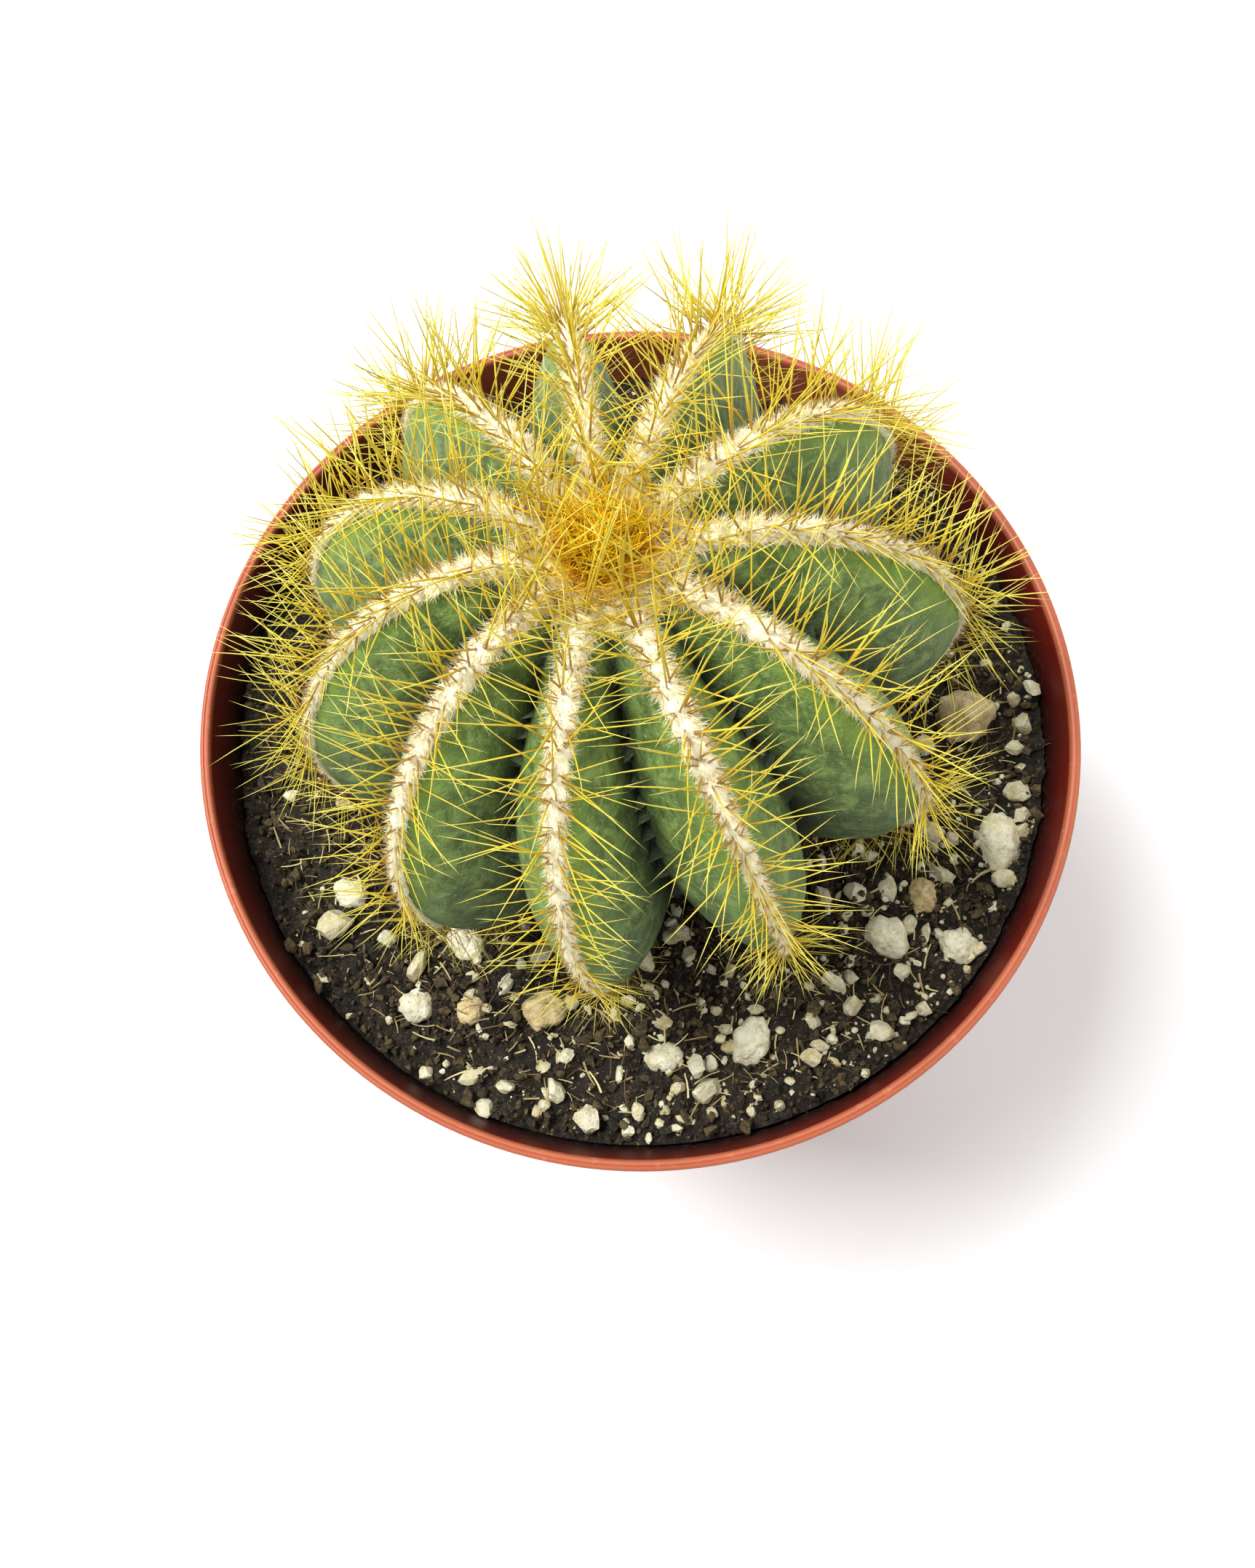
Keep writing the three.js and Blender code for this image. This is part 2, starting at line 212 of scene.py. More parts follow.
# %% Shared patterns
def spot_noise(finish, size, detail=3.0, roughness=0.55, distortion=0.0):
    """Noise from 0 to 1 with features about this size, in metres."""
    place = finish.node("ShaderNodeTexCoord", out="Object")
    sockets = {"Vector": place, "Scale": 1 / size, "Detail": detail}
    sockets |= {"Roughness": roughness, "Distortion": distortion}
    return finish.node("ShaderNodeTexNoise", {}, sockets, out="Fac")


def cells(finish, size):
    """Distance to the nearest cell's centre, with cells about this size."""
    place = finish.node("ShaderNodeTexCoord", out="Object")
    sockets = {"Vector": place, "Scale": 1 / size, "Randomness": 1.0}
    return finish.node("ShaderNodeTexVoronoi", {}, sockets, out="Distance")


def mark(finish, name):
    """A number stored on the mesh."""
    return finish.node("ShaderNodeAttribute", {"attribute_name": name}, out="Fac")


def between(finish, value, low, high):
    """0 below low, 1 above high and a soft step in between."""
    settings = {"interpolation_type": "SMOOTHSTEP", "clamp": True}
    return finish.node("ShaderNodeMapRange", settings, {"Value": value, "From Min": low, "From Max": high})


def blend(finish, share, first, second):
    """A mix of two colours."""
    sockets = {"Factor_Float": share, "A_Color": first, "B_Color": second}
    return finish.node("ShaderNodeMix", {"data_type": "RGBA"}, sockets, out="Result_Color")


def bump(finish, height, depth, strength=1.0):
    """A bump whose heights of 0 to 1 stand for a depth in metres."""
    sockets = {"Height": height, "Distance": depth, "Strength": strength}
    return finish.node("ShaderNodeBump", {}, sockets, out="Normal")


print("patterns", [pattern.__name__ for pattern in (spot_noise, cells, mark, between, blend, bump)])

# %% [markdown]
# ## Floor paint
# Plain and pale. A very faint mottling keeps it from looking like a computer's white.

# %% Floor paint
paper = Finish("pale_paper")
mottled = blend(paper, spot_noise(paper, 0.2), (0.9, 0.9, 0.9), (0.93, 0.93, 0.93))
floor.data.materials.append(paper.surface(base_color=mottled, roughness=0.9))
print("floor painted with", paper.material.name)

# %% [markdown]
# ## Working by hand
# The pieces are modelled with Blender's own operators. An operator acts on whatever is selected, so each
# piece is opened alone and with nothing selected, and what an operator should act on is then selected in
# code.

# %% Helpers for modelling
def tint(*screen):
    """A colour given as 0 to 255 on a screen, as the light it stands for."""
    return tuple(((c / 255 + 0.055) / 1.055) ** 2.4 if c > 10 else c / 255 / 12.92 for c in screen)


def deselect_all():
    if bpy.context.object and bpy.context.object.mode != "OBJECT":
        bpy.ops.object.mode_set(mode="OBJECT")
    bpy.ops.object.select_all(action="DESELECT")


def select_only(piece):
    deselect_all()
    piece.select_set(True)
    bpy.context.view_layer.objects.active = piece


def open_piece(piece, what="VERT"):
    """Edit mode on one piece, with nothing selected."""
    select_only(piece)
    bpy.ops.object.mode_set(mode="EDIT")
    bpy.ops.mesh.select_mode(type=what)
    bpy.ops.mesh.select_all(action="DESELECT")


def close_piece():
    bpy.ops.object.mode_set(mode="OBJECT")


def corners_of(piece):
    return np.array([corner.co for corner in piece.data.vertices])


def move_corners(piece, places):
    piece.data.vertices.foreach_set("co", places.ravel())
    piece.data.update()


def store(piece, name, values):
    """One number for each corner, which a finish reads with `mark`."""
    layer = piece.data.attributes.new(name, "FLOAT", "POINT")
    layer.data.foreach_set("value", np.asarray(values, np.float32))


def add_modifier(piece, kind, **settings):
    """Adds a modifier and applies it at once."""
    modifier = piece.modifiers.new(kind.lower(), kind)
    for name, value in settings.items():
        setattr(modifier, name, value)
    select_only(piece)
    bpy.ops.object.modifier_apply(modifier=modifier.name)


def cloud(size, depth=2):
    """A soft noise texture for the Displace modifier, with lumps about this size."""
    texture = bpy.data.textures.new("lumps", "CLOUDS")
    texture.noise_scale = size
    texture.noise_depth = depth
    return texture


def finish_piece(piece, name, material, replaced=(), sharp_above=40):
    """Names a piece, puts its place into its mesh, smooths it, paints it and lets it ride on the plant."""
    select_only(piece)
    bpy.ops.object.transform_apply(location=True, rotation=True, scale=True)
    bpy.ops.object.shade_smooth_by_angle(angle=math.radians(sharp_above))
    piece.name = name
    piece.data.name = name
    piece.data.materials.clear()
    piece.data.materials.append(material)
    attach(piece, "root")
    if replaced:
        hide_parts(*replaced)
    deselect_all()
    piece.data.calc_loop_triangles()
    print(name, len(piece.data.loop_triangles), "triangles")
    return piece


print("a screen's mid grey stands for", [round(part, 3) for part in tint(128, 128, 128)])

# %% [markdown]
# ## Pot plastic
# Nursery pots are injection-moulded polypropylene: smooth and slightly waxy, with a satin sheen. Light
# gets a little way into it, which makes thin edges look warmer. Fine rings run round it where the mould
# was turned, the lip is lightly scuffed, and potting leaves a film of peat on the inside just above the
# soil. Inside, the wall is painted a deep red as painted shade, darkest down by the soil. Only the inside
# of the back is painted lighter, towards the colour outside, as painted light where the lamps reach it.

# %% Pot sizes
FOOT_RADIUS = 38.5 * MM
WALL = 1.2 * MM
COLLAR_HEIGHT = 11 * MM
COLLAR_STEP = 1.3 * MM
BASE_RECESS = 2.5 * MM
FOOT_RING = 3.4 * MM
DRAIN_RADIUS = 3.5 * MM
DRAIN_CIRCLE = 27 * MM
DRAIN_COUNT = 8
POT_SEGMENTS = 160
POT_TAPER = (RIM_RADIUS - COLLAR_STEP - FOOT_RADIUS) / RIM_HEIGHT
COLLAR_FOOT = RIM_HEIGHT - COLLAR_HEIGHT
print("wall", WALL, "collar foot", round(COLLAR_FOOT, 4))


# %% Pot plastic
def pot_plastic():
    paint = Finish("terracotta_plastic")
    place = paint.node("ShaderNodeTexCoord", out="Object")
    split = paint.node("ShaderNodeSeparateXYZ", {}, {"Vector": place}, out="X")
    x, y, z = (Wire(paint, split.socket.node.outputs[axis]) for axis in "XYZ")
    radius = (x * x + y * y) ** 0.5
    collar = between(paint, z, COLLAR_FOOT - 0.8 * MM, COLLAR_FOOT)
    outer = z * POT_TAPER + FOOT_RADIUS + collar * COLLAR_STEP
    under_lip = 1 - between(paint, z, RIM_HEIGHT - 1.0 * MM, RIM_HEIGHT - 0.4 * MM)
    inside = between(paint, outer - radius, 0.5 * MM, 0.9 * MM) * under_lip
    low = 1 - between(paint, z, SOIL_LEVEL + 1.0 * MM, SOIL_LEVEL + 5.0 * MM)
    specks = between(paint, spot_noise(paint, 0.7 * MM, 6.0, 0.7), 0.5, 0.62)
    dust = inside * low * specks
    mottle = spot_noise(paint, 9 * MM, 4.0)
    scuff = between(paint, spot_noise(paint, 1.4 * MM, 6.0, 0.7, 0.4), 0.56, 0.7)
    plastic = blend(paint, mottle, tint(166, 84, 54), tint(184, 99, 66))
    worn = blend(paint, scuff * 0.4, plastic, tint(222, 142, 108))
    # painted shade: the inside wall is dark red, darkest by the soil; painted light makes the inside of the
    # back lighter
    shade = blend(paint, between(paint, z, SOIL_LEVEL, RIM_HEIGHT), tint(28, 4, 1), tint(104, 15, 5))
    lit_back = between(paint, y, 26 * MM, 48 * MM) * 0.6
    stain_and_shade = blend(paint, inside * (1 - lit_back), worn, shade)
    colour = blend(paint, dust * 0.85, stain_and_shade, tint(40, 26, 18))
    rings = paint.node("ShaderNodeMath", {"operation": "SINE"}, {0: radius * 14000 + z * 9000})
    relief = rings * 0.35 + spot_noise(paint, 0.5 * MM, 5.0)
    return paint.surface(
        base_color=colour,
        roughness=0.5 + scuff * 0.2 + dust * 0.3,
        normal=bump(paint, relief, 0.03 * MM, 0.6),
        subsurface_weight=0.08,
        subsurface_radius=(0.0012, 0.0005, 0.0003),
    )


POT_PLASTIC = pot_plastic()
print("finish", POT_PLASTIC.name)

# %% [markdown]
# ## Pot
# The pot is one thin moulding: a foot ring round a raised base with drain holes, a tapered wall, a collar
# that stands out so that pots nest and lift, and a rounded lip with a fine groove. It is modelled as a
# potter would throw it, ring by ring: a filled circle under the base is extruded outwards, down to the
# foot, up the wall, over the lip and back down the inside, and the last ring is filled. The drain holes
# are cut with a Boolean.


# %% Pot profile
def wall_radius(z):
    return FOOT_RADIUS + POT_TAPER * z


def pot_profile():
    """The pot's rings as (radius, height), from under the base, over the lip, to the inside of the base."""
    collar = wall_radius(RIM_HEIGHT) + COLLAR_STEP
    neck = wall_radius(COLLAR_FOOT)
    ring_inside = FOOT_RADIUS - FOOT_RING
    lip = 0.45 * MM
    quarter = [math.radians(a) for a in (0, 22, 45, 68, 90)]
    rings = [(ring_inside, BASE_RECESS), (ring_inside, 0.3 * MM)]
    rings += [(ring_inside + 0.3 * MM, 0), (FOOT_RADIUS - 0.5 * MM, 0), (FOOT_RADIUS, 0.5 * MM)]
    rings += [(wall_radius(z), z) for z in np.linspace(4 * MM, COLLAR_FOOT - 1.6 * MM, 12)]
    rings += [(neck + 0.15 * MM, COLLAR_FOOT - 0.5 * MM), (neck + COLLAR_STEP - 0.3 * MM, COLLAR_FOOT)]
    rings += [(neck + COLLAR_STEP, COLLAR_FOOT + 0.4 * MM)]
    rings += [(wall_radius(z) + COLLAR_STEP, z) for z in (COLLAR_FOOT + 5 * MM, RIM_HEIGHT - 1.4 * MM)]
    rings += [(collar - lip * (1 - math.cos(a)), RIM_HEIGHT - lip * (1 - math.sin(a))) for a in quarter]
    rings += [(collar - 0.56 * MM, RIM_HEIGHT - 0.12 * MM), (collar - 0.68 * MM, RIM_HEIGHT)]
    rings += [(collar - WALL + 0.35 * MM, RIM_HEIGHT)]
    rings += [(collar - WALL + 0.1 * MM, RIM_HEIGHT - 0.12 * MM), (collar - WALL, RIM_HEIGHT - 0.5 * MM)]
    rings += [(wall_radius(z) + COLLAR_STEP - WALL, z) for z in (RIM_HEIGHT - 4 * MM, COLLAR_FOOT + 0.6 * MM)]
    rings += [(wall_radius(z) - WALL, z) for z in (COLLAR_FOOT - 1.2 * MM, 45 * MM, BASE_RECESS + 2.4 * MM)]
    rings += [(wall_radius(BASE_RECESS) - 2 * WALL, BASE_RECESS + WALL)]
    return rings


print("the pot has", len(pot_profile()), "rings")


# %% Pot
def draw_rings(piece, rings):
    """Extrudes a flat piece's edge from ring to ring, each a (radius, height), and fills the last one."""
    open_piece(piece, "EDGE")
    bpy.ops.mesh.select_all(action="SELECT")
    bpy.ops.mesh.region_to_loop()
    for (last_radius, last_height), (radius, height) in zip(rings, rings[1:]):
        bpy.ops.mesh.extrude_edges_move(TRANSFORM_OT_translate={"value": (0, 0, height - last_height)})
        share = radius / last_radius
        bpy.ops.transform.resize(value=(share, share, 1), center_override=(0, 0, height))
    bpy.ops.mesh.edge_face_add()
    bpy.ops.mesh.select_all(action="SELECT")
    bpy.ops.mesh.normals_make_consistent(inside=False)
    close_piece()
    return piece


def throw_pot():
    rings = pot_profile()
    radius, height = rings[0]
    bpy.ops.mesh.primitive_circle_add(
        vertices=POT_SEGMENTS, radius=radius, fill_type="NGON", location=(0, 0, height)
    )
    base = bpy.context.object
    select_only(base)
    bpy.ops.object.transform_apply(location=True)
    return draw_rings(base, rings)


def join_pieces(first, *others):
    select_only(first)
    for other in others:
        other.select_set(True)
    bpy.ops.object.join()
    return first


def drill_drains(pot):
    centres = [(0, 0)]
    for i in range(DRAIN_COUNT):
        angle = 2 * math.pi * i / DRAIN_COUNT
        centres.append((DRAIN_CIRCLE * math.cos(angle), DRAIN_CIRCLE * math.sin(angle)))
    drills = []
    for x, y in centres:
        place = (x, y, BASE_RECESS + WALL / 2)
        bpy.ops.mesh.primitive_cylinder_add(vertices=32, radius=DRAIN_RADIUS, depth=4 * WALL, location=place)
        drills.append(bpy.context.object)
    drill = join_pieces(*drills)
    add_modifier(pot, "BOOLEAN", operation="DIFFERENCE", solver="EXACT", object=drill)
    bpy.data.objects.remove(drill)


pot = throw_pot()
drill_drains(pot)
finish_piece(pot, "nursery_pot", POT_PLASTIC, ["pot"], sharp_above=50)

# %% [markdown]
# ## Soil finish
# Peat is nearly black when moist and browner where it dries. It has no surface of its own, only fibres and
# crumbs, so it is rough and the bump is deep. Three noises of different sizes make the clods, grit and
# fibres.


# %% Soil and crumb finishes
def peat(name, dark, light, straw_share):
    paint = Finish(name)
    clods = spot_noise(paint, 3 * MM, 6.0, 0.65)
    grit = spot_noise(paint, 0.45 * MM, 5.0, 0.75)
    fibres = between(paint, spot_noise(paint, 0.6 * MM, 4.0, 0.6, 1.5), 0.6, 0.66)
    dryness = between(paint, clods * 0.4 + grit * 0.9 + mark(paint, "tone") * 0.25, 0.6, 1.0)
    brown = blend(paint, dryness, dark, light)
    colour = blend(paint, fibres * straw_share, brown, tint(170, 154, 112))
    relief = clods * 0.3 + grit + fibres * 0.4
    return paint.surface(base_color=colour, roughness=0.85, normal=bump(paint, relief, 0.5 * MM, 1.0))


PEAT = peat("moist_peat", tint(26, 20, 11), tint(100, 84, 52), 0.5)
CRUMB = peat("peat_crumb", tint(26, 20, 11), tint(116, 98, 62), 0.5)
print("finishes", PEAT.name, CRUMB.name)

# %% [markdown]
# ## Soil
# The soil fills the pot to about 8 mm under the lip, and is banked up a little against the wall at the
# right. Its top is a square grid pressed into a disc, which keeps the faces nearly even from the middle to
# the edge, and three Displace modifiers raise clods, crumbs and grit. The rim of the disc is then extruded
# down along the pot's wall and closed at the bottom, so the drain holes show soil too.

# %% Soil
SOIL_GAP = 0.35 * MM
SOIL_TOP_RADIUS = wall_radius(SOIL_LEVEL) + COLLAR_STEP - WALL - SOIL_GAP
SOIL_FOOT = BASE_RECESS + WALL + SOIL_GAP
SOIL_CROWN = 0.6 * MM
BANK_HEIGHT = 2.2 * MM
BANK_FROM = 0.84
GRID_STEPS = 260


def lay_soil():
    bpy.ops.mesh.primitive_grid_add(x_subdivisions=GRID_STEPS, y_subdivisions=GRID_STEPS, size=2)
    soil = bpy.context.object
    for corner in soil.data.vertices:
        u, v = corner.co.x, corner.co.y
        corner.co = (u * math.sqrt(1 - v * v / 2), v * math.sqrt(1 - u * u / 2), 0)
        corner.co *= SOIL_TOP_RADIUS
        off_middle = corner.co.xy.length / SOIL_TOP_RADIUS
        banked = max(corner.co.x / SOIL_TOP_RADIUS, 0) * max((off_middle - BANK_FROM) / (1 - BANK_FROM), 0)
        corner.co.z = SOIL_LEVEL + SOIL_CROWN * math.cos(off_middle * 1.6) + BANK_HEIGHT * banked
    for size, depth, strength in ((9 * MM, 2, 2.6 * MM), (2.2 * MM, 4, 3.6 * MM), (0.8 * MM, 2, 1.2 * MM)):
        texture = cloud(size, depth)
        add_modifier(soil, "DISPLACE", texture=texture, direction="Z", strength=strength, mid_level=0.5)
    neck, foot = wall_radius(COLLAR_FOOT), wall_radius(SOIL_FOOT)
    rings = [(SOIL_TOP_RADIUS, SOIL_LEVEL)]
    rings += [(neck + COLLAR_STEP - WALL - SOIL_GAP, COLLAR_FOOT + 1.2 * MM)]
    rings += [(neck - WALL - 2 * SOIL_GAP, COLLAR_FOOT - 1.4 * MM)]
    rings += [(foot - WALL - 2 * SOIL_GAP, SOIL_FOOT + 3 * MM), (foot - 3 * WALL, SOIL_FOOT)]
    return draw_rings(soil, rings)


soil = finish_piece(lay_soil(), "potting_soil", PEAT, ["soil"], sharp_above=60)

# %% [markdown]
# ## Many copies of one shape
# Crumbs, grains, hairs and bristles come in hundreds or thousands. Each kind is modelled once or a few
# times with operators, and its corners are then repeated into one mesh: every copy gets a place, a size, a
# turn and a `tone`, a random number that its finish reads to make it a little lighter or darker than its
# neighbours.


# %% Copies
def as_shape(piece):
    """A modelled shape as two arrays, corners and triangles. The piece itself is removed."""
    piece.data.calc_loop_triangles()
    points = corners_of(piece)
    faces = np.array([triangle.vertices for triangle in piece.data.loop_triangles])
    bpy.data.objects.remove(piece)
    return points, faces


def unit(vectors):
    return vectors / np.linalg.norm(vectors, axis=-1, keepdims=True)


def turns_along(directions, lengths=np.ones(1)):
    """Turns that take +Z to each direction, rolled at random, with the copies' lengths in them."""
    side = unit(np.cross(directions, rng.normal(size=directions.shape)))
    return np.stack([side, np.cross(directions, side), directions], axis=2) * lengths[:, None, None]


def copies(name, shapes, places, turns, tones):
    """One mesh with a copy at each place. turns are 3 by 3 matrices that also hold the size."""
    picks = rng.integers(len(shapes), size=len(places))
    points, faces, along, tone, used = [], [], [], [], 0
    for number, (shape_points, shape_faces) in enumerate(shapes):
        chosen = picks == number
        count = int(chosen.sum())
        placed = np.einsum("nij,pj->npi", turns[chosen], shape_points) + places[chosen][:, None]
        points.append(placed.reshape(-1, 3))
        first = used + np.arange(count) * len(shape_points)
        faces.append((shape_faces[None] + first[:, None, None]).reshape(-1, 3))
        along.append(np.tile(np.clip(shape_points[:, 2], 0, 1), count))
        tone.append(np.repeat(tones[chosen], len(shape_points)))
        used += count * len(shape_points)
    mesh = bpy.data.meshes.new(name)
    mesh.from_pydata(np.concatenate(points).tolist(), [], np.concatenate(faces).tolist())
    piece = bpy.data.objects.new(name, mesh)
    bpy.context.collection.objects.link(piece)
    store(piece, "along", np.concatenate(along))
    store(piece, "tone", np.concatenate(tone))
    return piece


print("a vector (3, 4) made one long is", unit(np.array([3.0, 4.0])))

# %% [markdown]
# ## Crumbs, straw and fibres
# Close to, potting soil is a heap of crumbs of half a millimetre to two, with bits of straw and fine roots
# lying flat on it. A crumb is an icosphere whose corners are knocked about, a straw is a thin splinter.
# They are dropped onto the soil by casting a ray down at random places and are left off where the plant
# stands. Straws, hairs and bristles are all thin rods: a cone is cut across at a few heights, and its
# rings are moved to bend it.


# %% Shapes for crumbs and straw
def crumb_shape(seed):
    """A pebble about one unit across, knocked out of round."""
    bpy.ops.mesh.primitive_ico_sphere_add(subdivisions=1, radius=0.5)
    pebble = bpy.context.object
    open_piece(pebble)
    bpy.ops.mesh.select_all(action="SELECT")
    bpy.ops.transform.vertex_random(offset=0.2, uniform=0.4, normal=0.6, seed=seed)
    bpy.ops.transform.resize(value=(1, 0.8, 0.65))
    close_piece()
    return as_shape(pebble)


def cut(piece, place, facing=(0, 0, 1), chop=False):
    """Cuts through a piece at a plane. Both halves stay, or what is beyond the plane is chopped off flat."""
    open_piece(piece)
    bpy.ops.mesh.select_all(action="SELECT")
    bpy.ops.mesh.bisect(plane_co=place, plane_no=facing, use_fill=chop, clear_outer=chop)
    close_piece()


def rod_shape(foot, tip, cuts, bend):
    """A rod one unit long on +Z. bend gives, for a height, how much thicker it is and how far it is aside."""
    bpy.ops.mesh.primitive_cone_add(vertices=3, radius1=foot, radius2=tip, depth=1, location=(0, 0, 0.5))
    rod = bpy.context.object
    select_only(rod)
    bpy.ops.object.transform_apply(location=True)
    for height in cuts:
        cut(rod, (0, 0, height))
    for corner in rod.data.vertices:
        thicker, right, back = bend(corner.co.z)
        corner.co.xy *= thicker
        corner.co.x += right
        corner.co.y += back
    return as_shape(rod)


def splinter_shape(thickness, bow):
    return rod_shape(thickness, thickness * 0.6, (0.33, 0.66), lambda z: (1, bow * math.sin(math.pi * z), 0))


def chip_shape(seed):
    """A broken grain about one unit across: a pebble with a few flat fractures."""
    bpy.ops.mesh.primitive_ico_sphere_add(subdivisions=2, radius=0.55)
    chip = bpy.context.object
    open_piece(chip)
    bpy.ops.mesh.select_all(action="SELECT")
    bpy.ops.transform.vertex_random(offset=0.09, uniform=0.3, normal=0.7, seed=seed)
    bpy.ops.transform.resize(value=(1, 0.82, 0.7))
    close_piece()
    for facing in unit(rng.normal(size=(4, 3))):
        cut(chip, tuple(facing * rng.uniform(0.28, 0.4)), tuple(facing), chop=True)
    return as_shape(chip)


CRUMBS = [crumb_shape(seed) for seed in range(6)]
CHIPS = [chip_shape(seed) for seed in range(10, 16)]
STRAWS = [splinter_shape(0.05, 0.05), splinter_shape(0.035, -0.09)]
FIBRES = [splinter_shape(0.012, 0.12), splinter_shape(0.015, -0.16)]
print("crumb has", len(CRUMBS[0][1]), "faces, chip", len(CHIPS[0][1]))

# %% Where things lie on the soil
PLANT_CENTRE = Vector((-3.0, 2.6, 105.0)) * MM
PLANT_FOOT_RADIUS = 22 * MM
CRUMB_COUNT = 9000
STRAW_COUNT = 1400
FIBRE_COUNT = 500


def drop_on_soil(count, edge=SOIL_TOP_RADIUS - 0.6 * MM):
    """Random places on the soil's top, outside the plant's foot."""
    places = []
    while len(places) < count:
        x, y = rng.uniform(-edge, edge, 2)
        off_plant = math.hypot(x - PLANT_CENTRE.x, y - PLANT_CENTRE.y) > PLANT_FOOT_RADIUS
        if off_plant and math.hypot(x, y) < edge:
            _, spot, _, _ = soil.ray_cast((x, y, RIM_HEIGHT), (0, 0, -1))
            places.append(spot)
    return np.array(places)


def any_turns(count):
    """Random turns of shapes that lie any way up."""
    return turns_along(unit(rng.normal(size=(count, 3))))


def scatter_crumbs(count):
    sizes = rng.lognormal(math.log(0.62), 0.5, count).clip(0.25, 2.0) * MM
    places = drop_on_soil(count, SOIL_TOP_RADIUS - 0.3 * MM)
    places[:, 2] += sizes * rng.uniform(-0.1, 0.7, count)
    turns = any_turns(count) * sizes[:, None, None]
    return copies("peat_crumbs", CRUMBS, places, turns, rng.random(count))


def lying_turns(count, lengths, slope):
    """Turns of long shapes that lie nearly flat."""
    heading = rng.uniform(0, 2 * math.pi, count)
    rise = rng.normal(0, slope, count)
    directions = np.stack([np.cos(heading), np.sin(heading), rise], axis=1)
    return turns_along(unit(directions), lengths)


def scatter_straw(name, shapes, count, shortest, longest, slope):
    lengths = rng.uniform(shortest, longest, count)
    places = drop_on_soil(count, SOIL_TOP_RADIUS - 3 * MM)
    places[:, 2] += rng.uniform(0.2, 0.9, count) * MM
    return copies(name, shapes, places, lying_turns(count, lengths, slope), rng.random(count))


def straw_finish(name, dull, bright):
    paint = Finish(name)
    streak = spot_noise(paint, 0.5 * MM, 4.0)
    colour = blend(paint, mark(paint, "tone") * 0.8 + streak * 0.3, dull, bright)
    return paint.surface(base_color=colour, roughness=0.7, normal=bump(paint, streak, 0.05 * MM, 0.5))


STRAW = straw_finish("straw", tint(132, 108, 58), tint(226, 210, 150))
FIBRE = straw_finish("root_fibre", tint(50, 34, 22), tint(120, 88, 56))
finish_piece(scatter_crumbs(CRUMB_COUNT), "peat_crumbs", CRUMB, sharp_above=20)
straws = scatter_straw("straw_bits", STRAWS, STRAW_COUNT, 0.7 * MM, 3.4 * MM, 0.3)
finish_piece(straws, "straw_bits", STRAW)
fibres = scatter_straw("root_fibres", FIBRES, FIBRE_COUNT, 2.5 * MM, 6 * MM, 0.2)
finish_piece(fibres, "root_fibres", FIBRE)

# %% [markdown]
# ## Perlite
# Perlite is volcanic glass that has popped like corn: angular, full of pores, chalk-white where it is
# fresh and tan where peat water has stained it. The twelve largest grains follow their CAD solids: each
# solid is copied, its loose triangles are merged, and it is subdivided and dented. The rest are dropped on
# the soil as copies.


# %% Perlite finish
def perlite(name, clean, stain_and_shade, stain_share):
    paint = Finish(name)
    pores = between(paint, cells(paint, 0.5 * MM), 0.05, 0.5)
    stain = between(paint, spot_noise(paint, 1.4 * MM, 6.0, 0.7), 0.4, 0.66)
    colour = blend(paint, stain * stain_share + mark(paint, "tone") * 0.5, clean, stain_and_shade)
    pitted = blend(paint, (1 - pores) * 0.3, colour, stain_and_shade)
    relief = pores * 0.4 + spot_noise(paint, 0.4 * MM, 6.0, 0.75)
    return paint.surface(base_color=pitted, roughness=0.9, normal=bump(paint, relief, 0.22 * MM, 0.9))


WHITE_PERLITE = perlite("white_perlite", tint(238, 235, 208), tint(188, 172, 116), 0.6)
TAN_PERLITE = perlite("tan_perlite", tint(222, 204, 154), tint(158, 128, 72), 0.75)
print("finishes", WHITE_PERLITE.name, TAN_PERLITE.name)


# %% Large grains
def large_grain(node):
    solid = frame["nodes"][node]
    deselect_all()
    grain = bpy.data.objects.new(node + "_grain", solid.data.copy())
    bpy.context.collection.objects.link(grain)
    open_piece(grain)
    bpy.ops.mesh.select_all(action="SELECT")
    bpy.ops.mesh.remove_doubles(threshold=0.01 * MM)
    close_piece()
    width = grain.dimensions.x
    add_modifier(grain, "SUBSURF", levels=2, render_levels=2)
    add_modifier(grain, "DISPLACE", texture=cloud(0.4 * width, 3), strength=0.32 * width, mid_level=0.42)
    add_modifier(grain, "DISPLACE", texture=cloud(0.12 * width, 3), strength=0.09 * width, mid_level=0.5)
    return grain


SLOT_OF = {entry["node"]: entry["material_slot"] for entry in frame["record"]["subparts"]}
for node in sorted(name for name in frame["nodes"] if name.startswith("perlite_")):
    stone = TAN_PERLITE if SLOT_OF[node] == "perlite_tan" else WHITE_PERLITE
    finish_piece(large_grain(node), node + "_grain", stone, [node], sharp_above=35)


# %% Small grains
PERLITE_DROPS = 3200


def scatter_perlite():
    """Small grains, more of them at the front and right."""
    drawn = drop_on_soil(PERLITE_DROPS)
    lean = (drawn[:, 0] * 0.75 - drawn[:, 1] * 0.65) / SOIL_TOP_RADIUS
    keep = rng.random(len(drawn)) < np.clip(0.28 + 0.62 * lean, 0.08, 0.85)
    places = drawn[keep]
    count = len(places)
    sizes = rng.lognormal(math.log(0.75), 0.75, count).clip(0.3, 3.8) * MM
    places[:, 2] += sizes * rng.uniform(0.05, 0.35, count)
    stretch = rng.uniform(0.6, 1.3, (count, 1, 3))
    turns = any_turns(count) * stretch * sizes[:, None, None]
    return copies("perlite_bits", CHIPS, places, turns, rng.random(count) ** 1.5)


finish_piece(scatter_perlite(), "perlite_bits", WHITE_PERLITE, sharp_above=25)

# %% [markdown]
# ## The plant's surface as a formula
# The CAD plant follows a formula, and the fine surface, the wool and the bristles all need the same one,
# so it is written once more here. `down` is the way from the crown, 0, past the widest level, a quarter
# turn, to the root end, a half turn. `turn` counts ribs: a whole number is on a crest and a half is in a
# valley.

